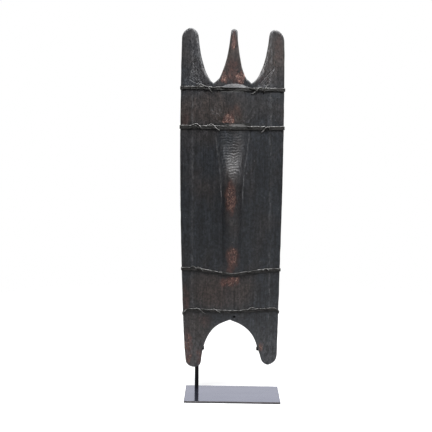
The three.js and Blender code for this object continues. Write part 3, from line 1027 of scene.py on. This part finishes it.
def weldBead(bm, place, across, radius):  # a ring of weld where a rod meets another
    size = 0.001 * (radius + standForm["weldSize"])
    made = bmesh.ops.create_uvsphere(bm, u_segments=20, v_segments=10, radius=size)
    turn = Vector((0, 0, 1)).rotation_difference(Vector(across)).to_matrix().to_4x4()
    flat = Matrix.Scale(standForm["weldFlat"], 4, (0, 0, 1))
    placed = Matrix.Translation(Vector(place) * 0.001) @ turn @ flat
    bmesh.ops.transform(bm, matrix=placed, verts=made["verts"])


def legClip(bm, u, h, rodX):
    form = standForm
    sign = -1 if u > 0 else 1
    leg = inRoom(u, 0, h)
    edgeX = leg.x + sign * form["clipClear"]
    lapX = edgeX - sign * form["clipLap"]
    faceY = plainFront(u, h) - form["clipClear"] - form["clipThickness"] / 2
    behindY = plainBack(boardForm["crestHalf"], h) + form["clipClear"] + form["clipThickness"] / 2
    middleX = edgeX + sign * form["clipThickness"] / 2
    route = [(rodX, behindY)]
    route += [(middleX - sign * inward, behindY - away) for inward, away in form["clipBack"]]
    route += [(middleX - sign * inward, faceY + away) for inward, away in form["clipFront"]]
    route.append((lapX, faceY))
    low = leg.z - form["clipHeight"] / 2
    verts = [bm.verts.new(Vector((x, y, low)) * 0.001) for x, y in route]
    edges = [bm.edges.new(pair) for pair in zip(verts, verts[1:])]
    raised = bmesh.ops.extrude_edge_only(bm, edges=edges)["geom"]
    upper = [g for g in raised if isinstance(g, bmesh.types.BMVert)]
    bmesh.ops.translate(bm, vec=(0, 0, 0.001 * form["clipHeight"]), verts=upper)
    faces = [g for g in raised if isinstance(g, bmesh.types.BMFace)]
    bmesh.ops.recalc_face_normals(bm, faces=faces)
    bmesh.ops.solidify(bm, geom=faces, thickness=0.001 * form["clipThickness"])
    return (rodX, form["postY"], leg.z), (rodX, behindY, leg.z)


def makeFrame():
    form = standForm
    bm = bmesh.new()
    footZ = form["plateThickness"] + form["gap"]
    forkMiddle = inRoom(0, form["forkBackY"], form["forkH"])
    clipU, clipH, _ = form["clips"][1]
    dropEnd = inRoom(clipU, 0, clipH - form["clipHeight"] / 2).z
    backY, armZ, armRadius = form["postY"], form["armZ"], form["armRadius"]
    postTop, dropTop = (form["postX"], backY, armZ), (form["dropX"], backY, armZ)
    riser = [(forkMiddle.x, backY, z) for z in (armZ, forkMiddle.z)]
    tipY, rootY = form["forkTipY"], form["forkBackY"]
    tines = [inRoom(side * form["forkHalf"], y, form["forkH"])
             for side, y in ((-1, tipY), (-1, rootY), (1, rootY), (1, tipY))]
    rodMesh(bm, [(form["postX"], backY, footZ), postTop], form["postRadius"], 0)
    rodMesh(bm, [postTop, dropTop, (form["dropX"], backY, dropEnd)], armRadius, form["bend"])
    rodMesh(bm, [*riser, forkMiddle], armRadius, form["bend"])
    rodMesh(bm, tines, form["forkRadius"], form["forkBend"])
    weldBead(bm, postTop, (1, 0, 0), form["postRadius"])
    weldBead(bm, (forkMiddle.x, backY, armZ + armRadius), (0, 0, 1), armRadius)
    weldBead(bm, forkMiddle, (0, 1, 0), armRadius)
    for u, h, rodX in form["clips"]:
        stub = legClip(bm, u, h, rodX)
        rodMesh(bm, stub, form["stubRadius"], 0)
    bmesh.ops.remove_doubles(bm, verts=bm.verts, dist=1e-6)
    bmesh.ops.recalc_face_normals(bm, faces=bm.faces)
    piece = finishMesh(bm, "welded_frame", form["sharpDegrees"])
    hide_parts("stand_frame")
    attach(piece, "root")
    return piece


standFrame = makeFrame()
print("stand frame welded:", len(standFrame.data.polygons), "faces")


# Effects that the materials share, as node groups

def fill(tree, node, inputs):  # links or sets a node's inputs
    for socket, value in inputs.items():
        if isinstance(value, bpy.types.NodeSocket):
            tree.links.new(value, node.inputs[socket])
        else:
            node.inputs[socket].default_value = value


def put(tree, kind, inputs=None, **settings):  # adds a node
    node = tree.nodes.new(kind)
    for name, value in settings.items():
        setattr(node, name, value)
    fill(tree, node, inputs or {})
    return node


def startGroup(name, inputs, outputs):  # an input without a value is a vector
    group = bpy.data.node_groups.new(name, "ShaderNodeTree")
    for socket, value in inputs.items():
        kind = "NodeSocketVector" if value is None else "NodeSocketFloat"
        made = group.interface.new_socket(name=socket, in_out="INPUT", socket_type=kind)
        if value is not None:
            made.default_value = value
    for socket in outputs:
        group.interface.new_socket(name=socket, in_out="OUTPUT", socket_type="NodeSocketFloat")
    return group, group.nodes.new("NodeGroupInput").outputs, group.nodes.new("NodeGroupOutput")


def calc(tree, operation, a, b=0.0, clamped=False):
    return put(tree, "ShaderNodeMath", {0: a, 1: b}, operation=operation, use_clamp=clamped).outputs[0]


def product(tree, first, *others):
    for other in others:
        first = calc(tree, "MULTIPLY", first, other)
    return first


def noiseValue(tree, vector, scale, detail=4.0, roughness=0.55, distortion=0.0):
    made = put(tree, "ShaderNodeTexNoise", {"Vector": vector, "Scale": scale, "Detail": detail,
                                            "Roughness": roughness, "Distortion": distortion})
    return made.outputs["Fac"]


def stretched(tree, vector, scale):
    return put(tree, "ShaderNodeMapping", {"Vector": vector, "Scale": scale}).outputs[0]


def spread(tree, value, low, high, toLow=0.0, toHigh=1.0):
    inputs = {"Value": value, "From Min": low, "From Max": high, "To Min": toLow, "To Max": toHigh}
    return put(tree, "ShaderNodeMapRange", inputs, interpolation_type="SMOOTHSTEP").outputs[0]


def blendValue(tree, share, a, b):
    return put(tree, "ShaderNodeMix", {"Factor": share, "A": a, "B": b}).outputs[0]


def blendColour(tree, share, a, b, mode="MIX"):
    inputs = {"Factor": share, 6: a, 7: b}     # the colour sockets are the seventh and the eighth
    return put(tree, "ShaderNodeMix", inputs, data_type="RGBA", blend_type=mode).outputs[2]


def makeGrainGroup():  # fibres that run along Z: long streaks and fine lines
    group, start, end = startGroup("fibreGrain", {"Vector": None, "Width": 150.0, "Length": 5.0},
                                   ["Streak", "Line"])
    scale = put(group, "ShaderNodeCombineXYZ", {0: start["Width"], 1: start["Width"], 2: start["Length"]})
    placed = put(group, "ShaderNodeVectorMath", {0: start["Vector"], 1: scale.outputs[0]},
                 operation="MULTIPLY").outputs[0]
    finer = put(group, "ShaderNodeVectorMath", {0: placed, 1: (4.3, 4.3, 3.0)}, operation="MULTIPLY")
    fill(group, end, {"Streak": noiseValue(group, placed, 1.0, 5.0, 0.62, 0.15),
                      "Line": noiseValue(group, finer.outputs[0], 1.0, 3.0, 0.6)})
    return group


def makeBreakupGroup():  # a soft share broken up into worn flecks with ragged edges
    group, start, end = startGroup(
        "raggedWear", {"Vector": None, "Share": 0.5, "Scale": 60.0, "Edge": 0.15}, ["Mask", "Fleck"])
    coarse = noiseValue(group, start["Vector"], start["Scale"], 7.0, 0.68, 0.4)
    ragged = put(group, "ShaderNodeMath", {0: coarse, 1: 2.2, 2: -1.55}, operation="MULTIPLY_ADD")
    level = calc(group, "ADD", ragged.outputs[0], start["Share"])
    started = calc(group, "GREATER_THAN", start["Share"], 0.001)
    small = product(group, start["Scale"], 1.9)
    fleck = spread(group, noiseValue(group, start["Vector"], small, 4.0, 0.7, 0.6), 0.52, 0.64)
    mask = product(group, spread(group, level, 0.0, start["Edge"]), started)
    fill(group, end, {"Mask": mask, "Fleck": fleck})
    return group


def makeDustGroup():  # pale dust where the surface looks up
    group, start, end = startGroup(
        "settledDust", {"Vector": None, "Amount": 0.5, "Steepest": 0.3, "Flattest": 0.9}, ["Mask"])
    normal = put(group, "ShaderNodeNewGeometry").outputs["Normal"]
    up = put(group, "ShaderNodeSeparateXYZ", {0: normal}).outputs[2]
    facing = spread(group, up, start["Steepest"], start["Flattest"])
    uneven = spread(group, noiseValue(group, start["Vector"], 45.0, 6.0, 0.7), 0.3, 0.7, 0.45, 1.0)
    mask = calc(group, "MULTIPLY", product(group, facing, uneven), start["Amount"], True)
    fill(group, end, {"Mask": mask})
    return group


fibreGrain = makeGrainGroup()
raggedWear = makeBreakupGroup()
settledDust = makeDustGroup()


def useGroup(tree, group, inputs):
    return put(tree, "ShaderNodeGroup", inputs, node_tree=group).outputs


def startMaterial(name):
    material = bpy.data.materials.new(name)
    material.use_nodes = True
    tree = material.node_tree
    return material, tree, tree.nodes["Principled BSDF"], put(tree, "ShaderNodeTexCoord").outputs["Object"]


def bumped(tree, shader, height, strength, distance):
    made = put(tree, "ShaderNodeBump", {"Strength": strength, "Distance": distance, "Height": height})
    fill(tree, shader, {"Normal": made.outputs[0]})


# Blackened wood: soot and handling polish over red-brown heartwood

woodLook = {
    "sootCool": (0.0104, 0.0118, 0.0143, 1),
    "sootWarm": (0.0235, 0.0180, 0.0158, 1),
    "stain": (0.034, 0.0155, 0.0130, 1),
    "heartwood": (0.044, 0.0180, 0.0145, 1),
    "heartwoodFleck": (0.34, 0.188, 0.140, 1),
    "rawDark": (0.015, 0.0105, 0.0082, 1), "rawLight": (0.058, 0.039, 0.027, 1),
    "dust": (0.142, 0.143, 0.150, 1),
    # near black, for grime and for painted shade and shadow
    "grimeAndShade": (0.003, 0.003, 0.003, 1),
    "streak": (0.62, 1.48), "mottle": (0.40, 1.72), "cloud": (0.76, 1.28),
    "polished": 0.42, "dull": 0.62,
    "grainWidth": 170.0, "grainLength": 9.0, "cloudScale": 8.0, "patchScale": 42.0, "speckScale": 140.0,
    "wornScale": 105.0, "wornEdge": 0.34, "scuffScale": 150.0, "chipScale": 85.0,
    "dustAmount": 0.3, "paleStrength": 0.8, "bump": 0.8, "bumpDepth": 0.0016,
}


def attribute(tree, name):
    return put(tree, "ShaderNodeAttribute", attribute_name=name, attribute_type="GEOMETRY").outputs["Fac"]


def times(tree, colour, share):
    grey = put(tree, "ShaderNodeCombineXYZ", {0: share, 1: share, 2: share}).outputs[0]
    return blendColour(tree, 1.0, colour, grey, "MULTIPLY")


def makeWood():
    look = woodLook
    material, tree, shader, place = startMaterial("blackenedWood")
    grain = useGroup(tree, fibreGrain,
                     {"Vector": place, "Width": look["grainWidth"], "Length": look["grainLength"]})
    clouds = noiseValue(tree, stretched(tree, place, (1, 1, 0.6)), look["cloudScale"], 6.0, 0.62, 0.5)
    patches = noiseValue(tree, stretched(tree, place, (1, 1, 0.8)), look["patchScale"], 4.0, 0.6, 0.4)
    speck = noiseValue(tree, stretched(tree, place, (1, 1, 0.75)), look["speckScale"], 5.0, 0.75, 0.25)
    streak = spread(tree, grain["Streak"], 0.3, 0.7, *look["streak"])
    mottle = spread(tree, speck, 0.36, 0.64, *look["mottle"])
    uneven = product(tree, mottle, spread(tree, patches, 0.3, 0.7, *look["cloud"]))

    # soot, browner in places
    warmth = calc(tree, "ADD", attribute(tree, "warm"), spread(tree, clouds, 0.3, 0.7, -0.35, 0.35), True)
    colour = blendColour(tree, warmth, look["sootCool"], look["sootWarm"])
    colour = times(tree, times(tree, colour, streak), uneven)

    # rubbed places: a red stain, then bare wood with bright flecks
    worn = attribute(tree, "worn")
    stain = product(tree, spread(tree, worn, 0.02, 0.55), spread(tree, patches, 0.25, 0.6, 0.35, 0.95))
    colour = blendColour(tree, stain, colour, times(tree, look["stain"], uneven))
    rubbedAndLit = useGroup(tree, raggedWear, {"Vector": stretched(tree, place, (1, 1, 0.6)), "Share": worn,
                                         "Scale": look["wornScale"], "Edge": look["wornEdge"]})
    fleck = product(tree, rubbedAndLit["Fleck"], spread(tree, worn, 0.1, 0.8))
    bright = times(tree, look["heartwoodFleck"], spread(tree, grain["Line"], 0.35, 0.65, 0.45, 1.25))
    bare = blendColour(tree, fleck, times(tree, look["heartwood"], uneven), bright)
    colour = blendColour(tree, rubbedAndLit["Mask"], colour, bare)

    # the back is plainer, browner wood
    raw = attribute(tree, "raw")
    rawStreak = spread(tree, grain["Streak"], 0.32, 0.68)
    rawWood = blendColour(tree, rawStreak, look["rawDark"], look["rawLight"])
    rawWood = times(tree, rawWood, spread(tree, clouds, 0.3, 0.7, 0.65, 1.25))
    colour = blendColour(tree, raw, colour, rawWood)

    # dust, rubbed polish and painted light, then grime with painted shade and shadow
    scuffs = noiseValue(tree, stretched(tree, place, (1, 1, 0.45)), look["scuffScale"], 6.0, 0.75)
    scuffed = product(tree, attribute(tree, "pale"), spread(tree, scuffs, 0.40, 0.68))
    dust = useGroup(tree, settledDust, {"Vector": place, "Amount": look["dustAmount"]})["Mask"]
    cells = put(tree, "ShaderNodeTexVoronoi", {"Vector": place, "Scale": look["chipScale"]})
    chips = calc(tree, "MULTIPLY", spread(tree, cells.outputs["Distance"], 0.13, 0.05),
                 spread(tree, patches, 0.5, 0.62), True)
    pale = calc(tree, "MAXIMUM", calc(tree, "MAXIMUM", scuffed, dust, True), chips)
    grimeAndShade = attribute(tree, "grimeAndShade")
    colour = blendColour(tree, product(tree, pale, look["paleStrength"]), colour, look["dust"])
    colour = blendColour(tree, grimeAndShade, colour, look["grimeAndShade"])

    # duller where it is worn, pale, dirty, painted in shade or raw, and pitted where it is worn
    rough = spread(tree, speck, 0.3, 0.7, look["polished"] + 0.12, look["polished"] - 0.08)
    dull = calc(tree, "MAXIMUM", rubbedAndLit["Mask"], calc(tree, "MAXIMUM", pale, grimeAndShade))
    dull = calc(tree, "MULTIPLY", calc(tree, "MAXIMUM", dull, raw), 1.6, True)
    fill(tree, shader, {"Base Color": colour, "Roughness": blendValue(tree, dull, rough, look["dull"])})
    height = calc(tree, "ADD", product(tree, grain["Streak"], 0.45), speck)
    pitted = product(tree, rubbedAndLit["Mask"], rubbedAndLit["Fleck"], 0.6)
    bumped(tree, shader, calc(tree, "SUBTRACT", height, pitted), look["bump"], look["bumpDepth"])
    return material


board.data.materials.append(makeWood())


# Split cane, darkened with age

# the dark cane colour is the painted shade of the lower strips; the dust colour paints the lit top of the
# upper strip
caneLook = {
    "cane": (0.061, 0.059, 0.055, 1), "caneInShade": (0.0072, 0.0068, 0.0064, 1),
    "dust": (0.385, 0.385, 0.382, 1),
    "roughness": 0.58, "specular": 0.3, "bump": 0.5,
}


def makeCane():
    look = caneLook
    material, tree, shader, place = startMaterial("agedCane")
    fibres = noiseValue(tree, stretched(tree, place, (40, 900, 900)), 1.0, 4.0, 0.6)
    stained = noiseValue(tree, place, 60.0, 5.0, 0.65)
    # painted light: the cane is darker where the lit share is low, and dust colour lies as a painted
    # highlight on its lit upward parts
    lit = attribute(tree, "lit")
    share = product(tree, spread(tree, fibres, 0.3, 0.7), spread(tree, stained, 0.25, 0.65, 0.35, 1.0),
                    spread(tree, lit, 0.0, 0.7, 0.16, 1.0))
    colour = blendColour(tree, share, look["caneInShade"], look["cane"])
    dust = useGroup(tree, settledDust, {"Vector": place, "Amount": lit, "Steepest": 0.1, "Flattest": 0.75})
    colour = blendColour(tree, dust["Mask"], colour, look["dust"])
    fill(tree, shader, {"Base Color": colour, "Roughness": look["roughness"],
                        "Specular IOR Level": look["specular"]})
    bumped(tree, shader, fibres, look["bump"], 0.0004)
    return material


agedCane = makeCane()
for piece in canePieces:
    piece.data.materials.append(agedCane)


# Stand: black satin rod, and a blued plate with dull edges

rodLook = {
    "low": (0.008, 0.008, 0.009, 1), "high": (0.013, 0.013, 0.014, 1), "metallic": 0.0, "ior": 1.2,
    "roughness": 0.5, "dust": 0.1, "peel": 0.12,
}
plateLook = {
    "low": (0.107, 0.115, 0.178, 1), "high": (0.122, 0.131, 0.196, 1), "metallic": 0.9, "ior": 1.5,
    "roughness": 0.12, "dust": 0.04, "peel": 0.015,
    "edgeFrom": (0.1603, 0.0918), "edgeColour": (0.053, 0.050, 0.056, 1), "edgeRoughness": 0.55,
}
steelDust = (0.11, 0.11, 0.115, 1)


def edgeMask(tree, place, reach):  # 1 outside a rectangle of this half width and half depth
    sides = put(tree, "ShaderNodeSeparateXYZ", {0: place})
    across, away = [calc(tree, "SUBTRACT", calc(tree, "ABSOLUTE", side), limit)
                    for side, limit in zip(sides.outputs, reach)]
    return calc(tree, "GREATER_THAN", calc(tree, "MAXIMUM", across, away), 0.0)


def makeSteel(name, look):
    material, tree, shader, place = startMaterial(name)
    cloud = noiseValue(tree, stretched(tree, place, (0.3, 1, 1)), 25.0, 6.0, 0.6)
    colour = blendColour(tree, spread(tree, cloud, 0.35, 0.7), look["low"], look["high"])
    dust = useGroup(tree, settledDust, {"Vector": place, "Amount": look["dust"]})
    colour = blendColour(tree, dust["Mask"], colour, steelDust)
    worn = noiseValue(tree, stretched(tree, place, (0.25, 1, 1)), 60.0, 6.0, 0.7)
    rough = spread(tree, worn, 0.3, 0.7, look["roughness"] * 0.85, look["roughness"] * 1.2)
    fill(tree, shader, {"Metallic": look["metallic"], "IOR": look["ior"]})
    if "edgeFrom" in look:
        edge = edgeMask(tree, place, look["edgeFrom"])
        colour = blendColour(tree, edge, colour, look["edgeColour"])
        rough = blendValue(tree, edge, rough, look["edgeRoughness"])
        fill(tree, shader, {"Metallic": spread(tree, edge, 0.0, 1.0, look["metallic"], 0.0)})
    fill(tree, shader, {"Base Color": colour, "Roughness": rough})
    bumped(tree, shader, noiseValue(tree, place, 900.0, 2.0, 0.5), look["peel"], 0.0002)
    return material


standFrame.data.materials.append(makeSteel("satinSteel", rodLook))
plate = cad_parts["stand_base_plate"]
plate.data.materials.clear()
plate.data.materials.append(makeSteel("bluedSteel", plateLook))
print("materials made")


# Floor and light

stageLook = {
    "floorSize": 8, "floorColour": (0.66, 0.66, 0.67, 1), "floorGlow": 0.62,
    "floorRoughness": 0.9, "floorSpecular": 0.1,
    "floorSolid": 0.6, "floorGone": 2.4,       # it is solid as far as this from the middle, then fades
    "seenSky": 1.0, "skyBack": 1.35, "skyFront": 0.03, "skyTurn": (0.1, 0.6),
    "overhead": {"place": (0.2, -0.8, 2.7), "size": (2.6, 0.7), "watts": 150, "aim": (0, -0.1, 0.5)},
    "rightSide": {"place": (2.4, -1.6, 1.5), "size": (1.0, 1.6), "watts": 6, "aim": (0, 0, 0.7)},
    "leftSide": {"place": (-2.6, -1.2, 1.4), "size": (1.0, 1.6), "watts": 2, "aim": (0, 0, 0.7)},
}


def addFloor():  # pale near the stand, and gone into the white room further out
    bm = bmesh.new()
    bmesh.ops.create_grid(bm, x_segments=1, y_segments=1, size=stageLook["floorSize"])
    floor = finishMesh(bm, "floor", 60)
    material, tree, shader, place = startMaterial("paleFloor")
    seen = put(tree, "ShaderNodeLightPath").outputs["Is Camera Ray"]
    away = put(tree, "ShaderNodeVectorMath", {0: place}, operation="LENGTH").outputs["Value"]
    fill(tree, shader, {
        "Base Color": stageLook["floorColour"],
        "Roughness": stageLook["floorRoughness"],
        "Specular IOR Level": stageLook["floorSpecular"],
        "Emission Color": (1, 1, 1, 1),
        "Emission Strength": product(tree, seen, stageLook["floorGlow"]),
        "Alpha": spread(tree, away, stageLook["floorSolid"], stageLook["floorGone"], 1.0, 0.0),
    })
    floor.data.materials.append(material)


def addSky():  # white to the eye; as light it is bright behind the shield and dim in front
    world = bpy.data.worlds.new("room")
    world.use_nodes = True
    tree = world.node_tree
    sky = tree.nodes["Background"]
    direction = put(tree, "ShaderNodeTexCoord").outputs["Generated"]
    away = put(tree, "ShaderNodeSeparateXYZ", {0: direction}).outputs[1]
    lit = spread(tree, away, *stageLook["skyTurn"], stageLook["skyFront"], stageLook["skyBack"])
    seen = put(tree, "ShaderNodeLightPath").outputs["Is Camera Ray"]
    fill(tree, sky, {"Color": (1, 1, 1, 1), "Strength": blendValue(tree, seen, lit, stageLook["seenSky"])})
    scene.world = world


def addSoftbox(name, box):
    data = bpy.data.lights.new(name, "AREA")
    data.shape = "RECTANGLE"
    data.size, data.size_y = box["size"]
    data.energy = box["watts"]
    light = addObject(name, data)
    light.location = box["place"]
    light.rotation_euler = (Vector(box["aim"]) - Vector(box["place"])).to_track_quat("-Z", "Y").to_euler()


addFloor()
addSky()
for softbox in ("overhead", "rightSide", "leftSide"):
    addSoftbox(softbox, stageLook[softbox])
print("stage lit")
